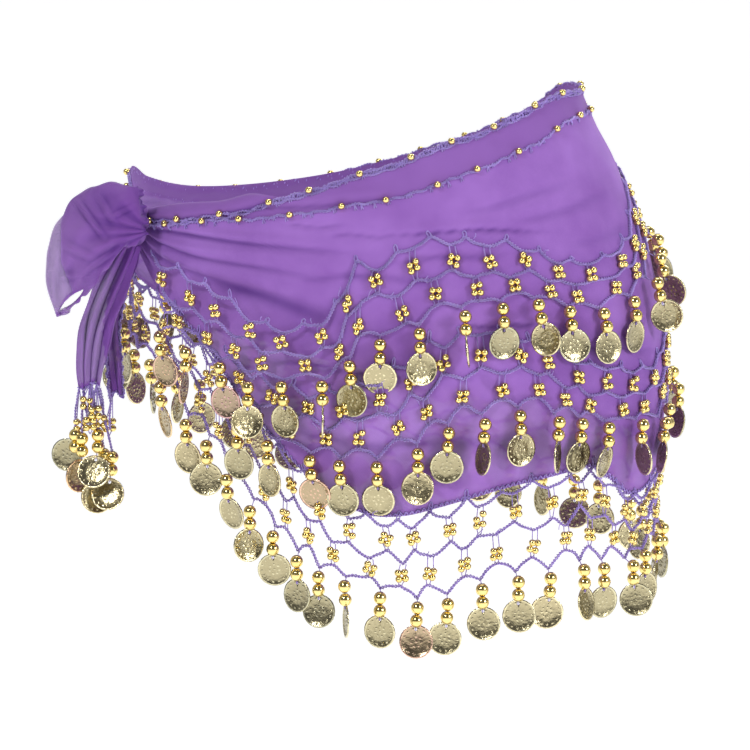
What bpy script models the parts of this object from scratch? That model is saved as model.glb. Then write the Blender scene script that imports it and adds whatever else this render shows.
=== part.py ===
"""A belly dance hip scarf: a long strip of sheer chiffon worn round the hips and tied at one side.

Everything hangs on a plain hip form, a stack of ellipses that isn't built. A place on the cloth is an
azimuth round the form and a height: azimuth 0 is the front (-Y), 90 the wearer's side at +X, 180 the back,
and the knot sits at the -X side. Lengths in the tables are in millimetres, and the objects are in metres.
"""

import math

import bmesh
import bpy
import numpy as np

MM = 0.001

# Driving sizes
CLOTH_WALL = 1.2
NET_WALL = 1.0
GAP = 0.4
DEPTH_SHARE = 0.72  # the form's depth as a share of its width
NET_DROP = 42.0  # from the line where a net is sewn on to its last crochet chain, before it is drawn out
BIG_BEAD = 8.0
COIN = 20.0
PENDANT_DROP = 2 * BIG_BEAD + COIN + 2.0
FRINGE_WALL = 5.0
EDGING_RADIUS = 1.1
FRONT_START = -74.0  # azimuth where the front stretch leaves the knot
SIDE_SEAM = 90.0  # azimuth where the front stretch ends and the back one starts
BACK_END = 283.0  # azimuth where the back stretch reaches the knot
ROW_STEP = 4.0
ROW_SPANS = {"upper": (-62, 278), "middle": (-38, 214), "hem": (-62, 278)}
ROW_LAYER = FRINGE_WALL + 2 * GAP
LAYER_DISTANCE = 50.0  # rows closer than this lie over each other

# The hip form: a section for each height, with the middle of its width and half its width.
FORM_COLUMNS = ("height", "middle", "half_width")
FORM = (
    (60, -19, 130),
    (40, -17, 133),
    (0, -8, 143),
    (-50, 3, 152),
    (-100, 8, 157),
    (-150, 10, 156),
    (-200, 10, 150),
    (-280, 10, 147),
)

# Heights of the lines on the cloth, for azimuths round the form: the cloth's top, the crocheted edge and the
# line below it, the lines where the upper and middle nets are sewn on, and the hem, which carries the lower net.
LINE_COLUMNS = ("azimuth", "top", "edge", "strip", "upper", "middle", "hem")
LINES = (
    (-76, -27, -35, -38, -49, -54, -58),
    (-68, -26, -34, -36.5, -50.5, -58, -66),
    (-60, -23.5, -32, -34.5, -53, -69, -78),
    (-52, -21, -30.5, -32.5, -58, -81, -91),
    (-45, -19.5, -29, -31, -65, -93, -105),
    (-38, -18, -26, -29.5, -71, -105, -127),
    (-30, -13.5, -22, -28, -83, -116, -152),
    (-22, -14.5, -16, -26, -88, -124, -175),
    (-15, -10, -11, -23, -82, -126, -190),
    (-8, -5, -5.5, -20, -54, -120, -199),
    (0, 1, 0.5, -17.5, -46, -108, -200),
    (8, 7, 6.5, -12, -37, -96, -195),
    (15, 12.5, 12, -7.5, -38, -91, -190),
    (22, 18, 17.5, -1.5, -40, -91, -185),
    (30, 22.5, 22, 4, -42, -97, -181),
    (38, 28, 27.5, 10, -50, -107, -177.5),
    (45, 33, 32.5, 14.5, -53, -113, -175),
    (52, 38, 37.5, 20, -51, -116, -182),
    (60, 41.5, 41.5, 25, -47, -118, -193),
    (68, 42.5, 42.5, 28, -39, -117, -194),
    (78, 43, 43, 30, -22, -108, -185),
    (90, 43.5, 43.5, 31, -6, -94, -178),
    (110, 44, 44, 30, -4, -80, -172),
    (130, 29, 29, 15, -14, -82, -160),
    (150, 13, 13, 0, -24, -86, -150),
    (170, -2, -2, -14, -30, -86, -143),
    (190, -14, -15, -26, -38, -84, -136),
    (210, -20, -22, -31, -43, -78, -120),
    (230, -20, -22, -30, -44, -70, -100),
    (250, -12, -14, -22, -42, -60, -80),
    (265, -4, -6, -14, -38, -52, -66),
    (275, -9, -11, -19, -37, -48, -58),
    (286, -20, -23, -28, -40, -46, -53),
)

# How far each net is drawn out (over 1) or drawn in (under 1) where it hangs, for azimuths round the form.
STRETCH_COLUMNS = ("azimuth", "upper", "middle", "hem")
STRETCHES = (
    (-76, 0.75, 0.9, 1.0),
    (-60, 0.98, 0.95, 1.15),
    (-45, 1.02, 0.95, 1.33),
    (-30, 0.9, 0.95, 1.33),
    (-20, 0.78, 0.92, 1.15),
    (-10, 1.05, 1.06, 1.04),
    (0, 1.17, 1.26, 1.12),
    (10, 1.08, 1.24, 1.27),
    (20, 0.94, 1.16, 1.22),
    (30, 0.8, 0.98, 1.26),
    (40, 0.71, 0.9, 1.3),
    (50, 0.7, 0.84, 1.25),
    (60, 0.7, 0.79, 0.92),
    (75, 0.78, 0.82, 0.92),
    (90, 0.9, 0.92, 0.97),
    (110, 0.98, 0.98, 1.0),
    (130, 1.0, 1.0, 1.0),
    (200, 1.0, 1.0, 1.0),
    (286, 1.0, 1.0, 1.0),
)

# Soft creases that run out from the knot: the share of the cloth's height each starts and ends at, how far
# round the front it reaches in degrees, and its depth.
CREASE_COLUMNS = ("start", "end", "reach", "depth")
CREASES = (
    (0.30, 0.16, 62, 1.6),
    (0.45, 0.30, 78, 2.2),
    (0.62, 0.46, 70, 1.8),
    (0.80, 0.66, 52, 1.5),
)

# The puffed end that stands out of the knot, from the knot to its open mouth: a section for each place along
# it, between a point of its outer edge and one of its inner edge.
PUFF_COLUMNS = ("outer_x", "outer_z", "inner_x", "inner_z", "y", "half_depth")
PUFF = (
    (-142, -23, -141, -40, -65, 3.0),
    (-147, -14, -147, -43, -68, 6.5),
    (-158, -10, -154, -48, -71, 10.5),
    (-171, -11, -162, -57, -71, 13.0),
    (-184, -20, -169, -65, -70, 13.0),
    (-194, -36, -176, -74, -67, 12.0),
    (-198.5, -53, -180, -79, -64, 10.0),
    (-198, -71, -184, -83, -62, 8.0),
    (-193, -88, -186, -86, -60, 6.5),
)
PUFF_WALL = 1.0
PUFF_SIDES = 28

# The two tails that hang from the knot, gathered into pleats, with a section for each height.
TAIL_COLUMNS = ("height", "x", "y", "half_width", "half_depth")
FRONT_TAIL = (
    (-51, -152, -49, 5.0, 3.4),
    (-58, -154, -49, 6.0, 3.6),
    (-73, -161, -49, 7.5, 4.4),
    (-93, -169, -48, 9.0, 4.6),
    (-113, -173, -47, 8.0, 4.0),
    (-130, -175, -46, 6.5, 3.2),
)
BACK_TAIL = (
    (-51, -150, -39, 4.0, 2.4),
    (-58, -151, -39, 4.2, 2.5),
    (-75, -157, -38, 4.6, 3.0),
    (-99, -161, -37, 5.0, 3.0),
    (-120, -161, -37.5, 5.0, 2.8),
    (-136, -160, -38, 4.2, 2.4),
)
# The beaded net at the ends of the tails, and the coins below it.
TAIL_NET = (
    (-136.6, -170, -43, 11.0, 4.0),
    (-147, -171, -43, 12.0, 4.2),
    (-160, -172, -43, 12.0, 4.2),
)
TAIL_FRINGE = (
    (-160.6, -172, -43, 12.0, 4.5),
    (-173, -175, -43, 20.0, 6.0),
    (-190, -174, -43, 20.0, 6.0),
    (-206, -167, -43, 12.0, 5.0),
)
PLEAT_DEPTH = 0.14  # as a share of a tail's half width

KNOT_CENTRE = (-149, -51, -33)
KNOT_HALF = (9.5, 7.5, 15.5)

COLOURS = {
    "chiffon": ((0.32, 0.12, 0.55, 1.0), 0.75, 0.0),
    "crochet_thread": ((0.30, 0.18, 0.60, 1.0), 0.6, 0.0),
    "gold": ((0.83, 0.62, 0.22, 1.0), 0.25, 1.0),
}


def column(columns, rows, name):
    return np.array([row[columns.index(name)] for row in rows], float)


def smooth(at, where, values):
    """A cubic through the values, with slopes from their neighbours."""
    slopes = np.gradient(values, where)
    at = np.clip(at, where[0], where[-1])
    i = np.clip(np.searchsorted(where, at) - 1, 0, len(where) - 2)
    span = where[i + 1] - where[i]
    t = (at - where[i]) / span
    return (
        (2 * t**3 - 3 * t**2 + 1) * values[i]
        + (t**3 - 2 * t**2 + t) * span * slopes[i]
        + (-2 * t**3 + 3 * t**2) * values[i + 1]
        + (t**3 - t**2) * span * slopes[i + 1]
    )


def line(name, azimuth):
    """The height of one of the lines on the cloth, at these azimuths."""
    return smooth(azimuth, column(LINE_COLUMNS, LINES, "azimuth"), column(LINE_COLUMNS, LINES, name))


def stretch(name, azimuth):
    """How far a row's net is drawn out, at these azimuths."""
    return smooth(
        azimuth, column(STRETCH_COLUMNS, STRETCHES, "azimuth"), column(STRETCH_COLUMNS, STRETCHES, name)
    )


def form_point(azimuth, height, lift):
    """Points at a distance outside the hip form."""
    heights = -column(FORM_COLUMNS, FORM, "height")
    middle = smooth(-height, heights, column(FORM_COLUMNS, FORM, "middle"))
    half = smooth(-height, heights, column(FORM_COLUMNS, FORM, "half_width"))
    turn = np.radians(azimuth)
    depth = DEPTH_SHARE * half
    out_x, out_y = np.sin(turn) / half, -np.cos(turn) / depth
    size = np.hypot(out_x, out_y)
    x = middle + half * np.sin(turn) + lift * out_x / size
    y = -depth * np.cos(turn) + lift * out_y / size
    return np.stack([x, y, height], axis=-1)


def ridge(azimuth):
    """The most that the creases can lift the cloth at an azimuth."""
    lift = np.zeros(np.shape(azimuth))
    for _, _, reach, depth in CREASES:
        along = np.clip((azimuth - FRONT_START) / reach, 0, 1)
        lift = np.maximum(lift, depth * np.sin(np.pi * np.sqrt(along)) ** 2)
    return lift * 1.15


def crease(azimuth, share):
    """How far the creases near the knot lift the cloth."""
    lift = np.zeros(np.broadcast(azimuth, share).shape)
    for start, end, reach, depth in CREASES:
        along = np.clip((azimuth - FRONT_START) / reach, 0, 1)
        middle = start + (end - start) * along
        fade = np.sin(np.pi * np.sqrt(along)) ** 2
        lift += depth * fade * np.exp(-(((share - middle) / 0.055) ** 2))
    return lift


def object_from(name, points, faces, colour):
    mesh = bpy.data.meshes.new(name)
    mesh.from_pydata([tuple(p) for p in np.asarray(points) * MM], [], faces)
    shell = bmesh.new()
    shell.from_mesh(mesh)
    bmesh.ops.recalc_face_normals(shell, faces=shell.faces)
    if shell.calc_volume(signed=True) < 0:
        bmesh.ops.reverse_faces(shell, faces=shell.faces)
    shell.to_mesh(mesh)
    shell.free()
    mesh.shade_smooth()
    mesh.set_sharp_from_angle(angle=math.radians(50))
    mesh.materials.append(material(colour))
    built = bpy.data.objects.new(name, mesh)
    bpy.context.scene.collection.objects.link(built)
    return built


def material(name):
    found = bpy.data.materials.get(name)
    if found:
        return found
    colour, roughness, metallic = COLOURS[name]
    made = bpy.data.materials.new(name)
    made.use_nodes = True
    shader = made.node_tree.nodes["Principled BSDF"]
    shader.inputs["Base Color"].default_value = colour
    shader.inputs["Roughness"].default_value = roughness
    shader.inputs["Metallic"].default_value = metallic
    return made


def sheet(name, inner, outer, colour):
    """A closed wall between two grids of points of the same size."""
    rows, columns = inner.shape[:2]
    count = rows * columns
    points = np.concatenate([inner.reshape(-1, 3), outer.reshape(-1, 3)])
    faces = []
    for i in range(rows - 1):
        for j in range(columns - 1):
            a, b = i * columns + j, i * columns + j + 1
            c, d = b + columns, a + columns
            faces.append((a, b, c, d))
            faces.append((a + count, d + count, c + count, b + count))
    rim = [j for j in range(columns)]
    rim += [i * columns + columns - 1 for i in range(1, rows)]
    rim += [(rows - 1) * columns + j for j in range(columns - 2, -1, -1)]
    rim += [i * columns for i in range(rows - 2, 0, -1)]
    for a, b in zip(rim, rim[1:] + rim[:1]):
        faces.append((a, a + count, b + count, b))
    return object_from(name, points, faces, colour)


def cloth_lift(azimuth, share):
    return CLOTH_WALL * 0.5 + crease(azimuth, share)


def cloth_stretch(name, start, end, columns, rows):
    azimuth = np.linspace(start, end, columns)[None, :]
    share = np.linspace(0, 1, rows)[:, None]
    height = line("top", azimuth) * (1 - share) + line("hem", azimuth) * share
    lift = cloth_lift(azimuth, share)
    azimuth = np.broadcast_to(azimuth, height.shape)
    inner = form_point(azimuth, height, lift - CLOTH_WALL / 2)
    outer = form_point(azimuth, height, lift + CLOTH_WALL / 2)
    return sheet(name, inner, outer, "chiffon")


def share_at(azimuth, height):
    top, hem = line("top", azimuth), line("hem", azimuth)
    return np.clip((top - height) / (top - hem), 0, 1)


def layer(azimuth, name):
    """How far a net stands out so that it and its coins lie over the nets below it, where they run close."""
    below = {"upper": ("middle", "hem"), "middle": ("hem",), "hem": ()}[name]
    out = np.zeros(np.shape(azimuth))
    for other in below:
        start, end = ROW_SPANS[other]
        present = np.clip((azimuth - start) / 12 + 1, 0, 1) * np.clip((end - azimuth) / 12 + 1, 0, 1)
        apart = line(name, azimuth) - line(other, azimuth)
        over_coins = np.clip((LAYER_DISTANCE - apart) / 10, 0, 1) * present
        reach = NET_DROP * stretch(name, azimuth) + PENDANT_DROP
        over_net = np.clip((reach + 12 - apart) / 10, 0, 1) * present
        out = np.maximum(out, over_coins * ROW_LAYER + over_net * layer(azimuth, other))
    return out


def band(name, row, upper, lower, lift, wall, colour, rows):
    """A wall that follows the cloth at a distance, between two drops from a row's line: a length and a share of
    the net's own drop."""
    start, end = ROW_SPANS[row]
    azimuth = np.arange(start, end + 1, ROW_STEP)[None, :]
    share = np.linspace(0, 1, rows)[:, None]
    drop = NET_DROP * stretch(row, azimuth)
    height = line(row, azimuth) - (upper[0] + upper[1] * drop) * (1 - share) - (lower[0] + lower[1] * drop) * share
    azimuth = np.broadcast_to(azimuth, height.shape)
    base = CLOTH_WALL + ridge(azimuth) + layer(azimuth, row) + lift
    inner = form_point(azimuth, height, base)
    outer = form_point(azimuth, height, base + wall)
    return sheet(name, inner, outer, colour)


def crochet_line(name, height_name, columns, lift):
    """A round crocheted cord along one of the lines on the cloth."""
    azimuth = np.linspace(FRONT_START + 7, BACK_END - 5, columns)
    height = line(height_name, azimuth)
    near = [cloth_lift(azimuth, share_at(azimuth, height) + off) for off in (-0.04, -0.02, 0, 0.02, 0.04)]
    base = np.max(near, axis=0) + CLOTH_WALL / 2
    middle = form_point(azimuth, height, base + lift + EDGING_RADIUS)
    path = bpy.data.curves.new(name, "CURVE")
    path.dimensions = "3D"
    path.bevel_depth = EDGING_RADIUS * MM
    path.bevel_resolution = 1
    path.use_fill_caps = True
    spline = path.splines.new("POLY")
    spline.points.add(columns - 1)
    for point, place in zip(spline.points, middle):
        point.co = (*(place * MM), 1.0)
    path.materials.append(material("crochet_thread"))
    cord = bpy.data.objects.new(name, path)
    bpy.context.scene.collection.objects.link(cord)
    return cord


def rings_to_solid(name, rings, colour):
    """A solid through rings of points, closed at both ends."""
    sides = len(rings[0])
    points = np.concatenate(rings)
    faces = []
    for i in range(len(rings) - 1):
        for j in range(sides):
            k = (j + 1) % sides
            faces.append((i * sides + j, i * sides + k, (i + 1) * sides + k, (i + 1) * sides + j))
    faces.append(tuple(range(sides)))
    faces.append(tuple(range(len(points) - sides, len(points))))
    return object_from(name, points, faces, colour)


def tail(name, sections, colour, pleats, sides=32, steps=14):
    """A hanging, pleated end: rounded sections with ripples for the gathered folds."""
    heights = -column(TAIL_COLUMNS, sections, "height")
    where = np.linspace(heights[0], heights[-1], steps)
    turn = np.linspace(0, 2 * math.pi, sides, endpoint=False)
    rings = []
    for at in where:
        x, y, wide, deep = (
            float(smooth(at, heights, column(TAIL_COLUMNS, sections, c))) for c in TAIL_COLUMNS[1:]
        )
        ripple = 1 + PLEAT_DEPTH * np.cos(pleats * turn) * (pleats > 0)
        rings.append(
            np.stack([x + wide * ripple * np.cos(turn), y + deep * ripple * np.sin(turn), np.full(sides, -at)], axis=-1)
        )
    return rings_to_solid(name, rings, colour)


def puff_ring(section, shrink):
    """One ring of the puffed end, an ellipse from its outer edge to its inner one."""
    outer, inner = np.array(section[0:2]), np.array(section[2:4])
    middle, reach = (outer + inner) / 2, (outer - inner) / 2
    reach = reach * (1 - shrink / np.linalg.norm(reach))
    turn = np.linspace(0, 2 * math.pi, PUFF_SIDES, endpoint=False)
    flat = middle + np.cos(turn)[:, None] * reach
    y = section[4] + (section[5] - shrink) * np.sin(turn)
    return np.stack([flat[:, 0], y, flat[:, 1]], axis=-1)


def puff():
    """The puffed end of chiffon: a thin shell, closed at the knot and open at its mouth."""
    where = np.arange(len(PUFF), dtype=float)
    fine = np.linspace(0, len(PUFF) - 1, 4 * len(PUFF) - 3)
    sections = np.stack([smooth(fine, where, column(PUFF_COLUMNS, PUFF, c)) for c in PUFF_COLUMNS], axis=-1)
    outside = [puff_ring(s, 0) for s in sections]
    inside = [puff_ring(s, PUFF_WALL) for s in sections[1:]]
    return rings_to_solid("knot_puff", outside + inside[::-1], "chiffon")


def knot():
    """The knot itself, a rounded lump of wound cloth."""
    lump = bmesh.new()
    bmesh.ops.create_uvsphere(lump, u_segments=24, v_segments=14, radius=1.0)
    for vertex in lump.verts:
        turn = math.atan2(vertex.co.y, vertex.co.x)
        swell = 1 + 0.05 * math.cos(5 * turn + 3 * vertex.co.z)
        vertex.co = [
            (middle + half * swell * value) * MM
            for middle, half, value in zip(KNOT_CENTRE, KNOT_HALF, vertex.co)
        ]
    mesh = bpy.data.meshes.new("knot")
    lump.to_mesh(mesh)
    lump.free()
    mesh.shade_smooth()
    mesh.materials.append(material("chiffon"))
    bpy.context.scene.collection.objects.link(bpy.data.objects.new("knot", mesh))


def nets_and_fringes():
    """Three bands of netting, each with a row of coins below it, drawn as plain walls of their reach."""
    for name, row in (("upper", "upper"), ("middle", "middle"), ("lower", "hem")):
        overlap = 3.0 if row == "hem" else 0.0
        band(f"net_{name}", row, (-overlap, 0), (0, 1), GAP, NET_WALL, "crochet_thread", 4)
        band(f"coins_{name}", row, (GAP, 1), (PENDANT_DROP, 1), 2 * GAP + NET_WALL, FRINGE_WALL, "gold", 3)


def main():
    for old in list(bpy.data.objects):
        bpy.data.objects.remove(old)
    seam = GAP / 2 / 155 * 180 / math.pi
    cloth_stretch("scarf_front", FRONT_START, SIDE_SEAM - seam, 66, 17)
    cloth_stretch("scarf_back", SIDE_SEAM + seam, BACK_END, 64, 16)
    crochet_line("edging_waist", "edge", 110, 2 * GAP)
    crochet_line("edging_strip", "strip", 110, 2 * GAP)
    nets_and_fringes()
    knot()
    puff()
    tail("tail_front", FRONT_TAIL, "chiffon", 7)
    tail("tail_back", BACK_TAIL, "chiffon", 5)
    tail("tail_net", TAIL_NET, "crochet_thread", 0, sides=20, steps=4)
    tail("tail_coins", TAIL_FRINGE, "gold", 0, sides=20, steps=7)


main()
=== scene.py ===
import math
import random

import bmesh
import bpy
import numpy as np
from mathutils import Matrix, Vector


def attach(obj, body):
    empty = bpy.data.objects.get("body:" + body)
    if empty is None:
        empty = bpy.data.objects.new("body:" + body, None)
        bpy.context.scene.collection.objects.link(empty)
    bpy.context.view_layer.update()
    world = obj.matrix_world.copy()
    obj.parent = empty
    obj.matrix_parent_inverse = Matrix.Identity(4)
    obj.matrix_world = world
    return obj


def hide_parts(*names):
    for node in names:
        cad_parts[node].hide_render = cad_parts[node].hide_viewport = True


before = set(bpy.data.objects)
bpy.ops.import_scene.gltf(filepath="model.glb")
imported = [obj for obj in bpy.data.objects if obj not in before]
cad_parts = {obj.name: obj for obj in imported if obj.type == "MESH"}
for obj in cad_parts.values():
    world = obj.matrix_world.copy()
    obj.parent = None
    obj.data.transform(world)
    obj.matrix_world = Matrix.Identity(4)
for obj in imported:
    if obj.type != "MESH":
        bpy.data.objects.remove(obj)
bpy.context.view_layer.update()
random.seed(11)
mm = 0.001
print("frame loaded")


# shading helpers

class Shade:
    # a socket that does sums: an expression on these adds its Math nodes
    def __init__(self, tree, socket=None):
        self.tree = tree
        self.socket = socket

    def node(self, kind, settings=None, values=None, output=0):
        made = self.tree.nodes.new(kind)
        for name, value in (settings or {}).items():
            if name == "stops":
                ramp = made.color_ramp
                while len(ramp.elements) < len(value):
                    ramp.elements.new(0.5)
                for stop, (place, colour) in zip(ramp.elements, value):
                    stop.position = place
                    stop.color = (*colour, 1.0)
            else:
                setattr(made, name, value)
        for name, value in (values or {}).items():
            if isinstance(value, Shade):
                self.tree.links.new(value.socket, made.inputs[name])
            else:
                made.inputs[name].default_value = value
        return Shade(self.tree, made.outputs[output])

    def sums(self, operation, first, second=0.0):
        return self.node("ShaderNodeMath", {"operation": operation}, {0: first, 1: second})

    def __add__(self, other):
        return self.sums("ADD", self, other)

    def __radd__(self, other):
        return self.sums("ADD", other, self)

    def __sub__(self, other):
        return self.sums("SUBTRACT", self, other)

    def __rsub__(self, other):
        return self.sums("SUBTRACT", other, self)

    def __mul__(self, other):
        return self.sums("MULTIPLY", self, other)

    def __rmul__(self, other):
        return self.sums("MULTIPLY", other, self)

    def sine(self):
        return self.sums("SINE", self)

    def clamp(self):
        return self.node("ShaderNodeClamp", None, {"Value": self})

    def mixed(self, first, second):
        # a colour between two, by this factor
        return self.node(
            "ShaderNodeMix", {"data_type": "RGBA"}, {0: self, 6: first, 7: second}, output=2
        )

    def noise(self, scale, detail):
        body = self.node("ShaderNodeTexCoord", output=3)
        return self.node("ShaderNodeTexNoise", None, {"Vector": body, "Scale": scale, "Detail": detail})

    def attribute(self, name):
        return self.node("ShaderNodeAttribute", {"attribute_name": name}, output=2)

    def bump(self, strength, distance, height):
        values = {"Strength": strength, "Distance": distance, "Height": height}
        return self.node("ShaderNodeBump", None, values)


def newMaterial(name, constants):
    made = bpy.data.materials.new(name)
    made.use_nodes = True
    shader = made.node_tree.nodes["Principled BSDF"]
    for socket, value in constants.items():
        shader.inputs[socket].default_value = value
    return made, shader, Shade(made.node_tree)


def feed(shader, socket, value):
    value.tree.links.new(value.socket, shader.inputs[socket])


def colour(r, g, b):
    return (r, g, b, 1.0)


chiffonLooks = {
    # colours of one sheet, lit and in mid shade, of two sheets, and the painted shade at the bottom of a
    # crease; alpha is of each face of a thin shell
    "draped": {
        "light": colour(0.38, 0.18, 0.60),
        "mid": colour(0.225, 0.085, 0.385),
        "doubled": colour(0.235, 0.10, 0.385),
        "creaseShadeColour": colour(0.065, 0.016, 0.18),
        "alpha": 0.78,
        "alphaDoubled": 0.9,
    },
    "sheer": {
        "light": colour(0.33, 0.145, 0.52),
        "mid": colour(0.215, 0.08, 0.37),
        "doubled": colour(0.185, 0.06, 0.34),
        "creaseShadeColour": colour(0.075, 0.02, 0.20),
        "alpha": 0.36,
        "alphaDoubled": 0.86,
    },
}
weave = 0.9  # mm from thread to thread


def chiffonMaterial(name, look):
    made, shader, shade = newMaterial(
        name, {"Roughness": 0.78, "Sheen Weight": 0.25, "Sheen Roughness": 0.45, "Specular IOR Level": 0.2}
    )
    shader.inputs["Sheen Tint"].default_value = colour(0.8, 0.65, 1.0)
    place = shade.node("ShaderNodeUVMap", {"uv_map": "cloth"})
    across = shade.node("ShaderNodeSeparateXYZ", None, {0: place}, output=0)
    down = shade.node("ShaderNodeSeparateXYZ", None, {0: place}, output=1)
    turns = 2 * math.pi / (weave * mm)
    threads = (across * turns).sine() * (down * turns).sine()
    cloudy = shade.noise(24.0, 3.0)
    slubs = shade.noise(900.0, 2.0)
    layers = shade.attribute("layers").clamp()
    crease = shade.attribute("crease").clamp()
    # cloudy patches mix the lit tone and the mid-shade tone of the cloth: painted light and shade in random
    # patches, over a fine weave and slub pattern
    tone = (cloudy * 1.9 - 0.42 + threads * 0.10 + (slubs - 0.5) * 0.22).clamp()
    single = tone.mixed(look["mid"], look["light"])
    # the base colour darkens to a painted crease shade where the folds dip in
    feed(shader, "Base Color", crease.mixed(layers.mixed(single, look["doubled"]), look["creaseShadeColour"]))
    alpha = look["alpha"] + (look["alphaDoubled"] - look["alpha"]) * layers
    feed(shader, "Alpha", alpha + crease * 0.12 + threads * 0.04)
    feed(shader, "Normal", shade.bump(0.22, 0.0002, threads * 0.5 + slubs))
    return made


def threadMaterial(name):
    made, shader, shade = newMaterial(
        name, {"Roughness": 0.62, "Sheen Weight": 0.3, "Specular IOR Level": 0.35}
    )
    fuzz = shade.noise(1400.0, 2.0)
    patch = shade.noise(60.0, 1.0)
    tone = (fuzz * 0.9 + patch * 0.7 - 0.3).clamp()
    feed(shader, "Base Color", tone.mixed(colour(0.15, 0.08, 0.37), colour(0.50, 0.36, 0.86)))
    feed(shader, "Normal", shade.bump(0.5, 0.0003, fuzz))
    return made


def beadMaterial(name):
    made, shader, shade = newMaterial(name, {"Metallic": 1.0, "Coat Weight": 0.1, "Coat Roughness": 0.08})
    patch = shade.noise(130.0, 2.0)
    fine = shade.noise(1500.0, 2.0)
    feed(shader, "Base Color", patch.mixed(colour(0.74, 0.55, 0.17), colour(0.90, 0.74, 0.32)))
    feed(shader, "Roughness", 0.11 + fine * 0.12)
    feed(shader, "Normal", shade.bump(0.06, 0.0002, fine))
    return made


def coinMaterial(name):
    made, shader, shade = newMaterial(name, {"Metallic": 1.0, "Coat Weight": 0.08})
    tone = shade.attribute("tone")
    worn = shade.attribute("worn")
    plated = shade.node(
        "ShaderNodeValToRGB",
        {
            "stops": [
                (0.0, (0.50, 0.48, 0.33)),
                (0.30, (0.64, 0.59, 0.38)),
                (0.62, (0.78, 0.70, 0.44)),
                (0.84, (0.86, 0.75, 0.46)),
                (0.92, (0.84, 0.60, 0.34)),
                (1.0, (0.66, 0.38, 0.38)),
            ]
        },
        {"Fac": tone},
    )
    stamped = shade.noise(460.0, 3.0)
    dull = shade.noise(90.0, 2.0)
    tarnish = (1.0 - worn + (stamped - 0.5) * 1.3 + dull * 0.25).clamp() * 0.8
    feed(shader, "Base Color", tarnish.mixed(plated, colour(0.31, 0.265, 0.15)))
    feed(shader, "Roughness", 0.15 + dull * 0.2)
    feed(shader, "Normal", shade.bump(0.7, 0.0005, stamped))
    return made


chiffon = chiffonMaterial("chiffon sheer", chiffonLooks["draped"])
chiffonLoose = chiffonMaterial("chiffon loose ends", chiffonLooks["sheer"])
crochetThread = threadMaterial("crochet thread")
goldBead = beadMaterial("gold bead")
goldCoin = coinMaterial("gold coin")
print("materials made")


# the hips that the cloth lies on, and the lines along it; all in mm

hips = {
    "depthShare": 0.72,
    "columns": ("height", "middle", "halfWidth"),
    "sections": (
        (60, -19, 130),
        (40, -17, 133),
        (0, -8, 143),
        (-50, 3, 152),
        (-100, 8, 157),
        (-150, 10, 156),
        (-200, 10, 150),
        (-280, 10, 147),
    ),
}

# azimuth 0 is the front, 90 the side away from the knot
linesOnCloth = {
    "columns": ("azimuth", "top", "edge", "strip", "upper", "middle", "hem"),
    "stations": (
        (-76, -27, -35, -38, -49, -54, -58),
        (-68, -26, -34, -36.5, -50.5, -58, -66),
        (-60, -23.5, -32, -34.5, -53, -69, -78),
        (-52, -21, -30.5, -32.5, -58, -81, -91),
        (-45, -19.5, -29, -31, -65, -93, -105),
        (-38, -18, -26, -29.5, -71, -105, -127),
        (-30, -13.5, -22, -28, -83, -116, -152),
        (-22, -14.5, -16, -26, -88, -124, -175),
        (-15, -10, -11, -23, -82, -126, -190),
        (-8, -5, -5.5, -20, -54, -120, -199),
        (0, 1, 0.5, -17.5, -46, -108, -200),
        (8, 7, 6.5, -12, -37, -96, -195),
        (15, 12.5, 12, -7.5, -38, -91, -190),
        (22, 18, 17.5, -1.5, -40, -91, -185),
        (30, 22.5, 22, 4, -42, -97, -181),
        (38, 28, 27.5, 10, -50, -107, -177.5),
        (45, 33, 32.5, 14.5, -53, -113, -175),
        (52, 38, 37.5, 20, -51, -116, -182),
        (60, 41.5, 41.5, 25, -47, -118, -193),
        (68, 42.5, 42.5, 28, -39, -117, -194),
        (78, 43, 43, 30, -22, -108, -185),
        (90, 43.5, 43.5, 31, -6, -94, -178),
        (110, 44, 44, 30, -4, -80, -172),
        (130, 29, 29, 15, -14, -82, -160),
        (150, 13, 13, 0, -24, -86, -150),
        (170, -2, -2, -14, -30, -86, -143),
        (190, -14, -15, -26, -38, -84, -136),
        (210, -20, -22, -31, -43, -78, -120),
        (230, -20, -22, -30, -44, -70, -100),
        (250, -12, -14, -22, -42, -60, -80),
        (265, -4, -6, -14, -38, -52, -66),
        (275, -9, -11, -19, -37, -48, -58),
        (286, -20, -23, -28, -40, -46, -53),
    ),
}

# how far each net is drawn out (over 1) or drawn in where it hangs
netStretch = {
    "columns": ("azimuth", "upper", "middle", "hem"),
    "stations": (
        (-76, 0.75, 0.9, 1.0),
        (-60, 0.98, 0.95, 1.15),
        (-45, 1.02, 0.95, 1.33),
        (-30, 0.9, 0.95, 1.33),
        (-20, 0.78, 0.92, 1.15),
        (-10, 1.05, 1.06, 1.04),
        (0, 1.17, 1.26, 1.12),
        (10, 1.08, 1.24, 1.27),
        (20, 0.94, 1.16, 1.22),
        (30, 0.8, 0.98, 1.26),
        (40, 0.71, 0.9, 1.3),
        (50, 0.7, 0.84, 1.25),
        (60, 0.7, 0.79, 0.92),
        (75, 0.78, 0.82, 0.92),
        (90, 0.9, 0.92, 0.97),
        (110, 0.98, 0.98, 1.0),
        (130, 1.0, 1.0, 1.0),
        (200, 1.0, 1.0, 1.0),
        (286, 1.0, 1.0, 1.0),
    ),
}


def column(table, key, name):
    return np.array([row[table["columns"].index(name)] for row in table[key]], float)


def smoothAt(at, where, values):
    # a cubic through the values
    slopes = np.gradient(values, where)
    at = np.clip(at, where[0], where[-1])
    i = np.clip(np.searchsorted(where, at) - 1, 0, len(where) - 2)
    span = where[i + 1] - where[i]
    t = (at - where[i]) / span
    return (
        (2 * t**3 - 3 * t**2 + 1) * values[i]
        + (t**3 - 2 * t**2 + t) * span * slopes[i]
        + (-2 * t**3 + 3 * t**2) * values[i + 1]
        + (t**3 - t**2) * span * slopes[i + 1]
    )


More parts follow.
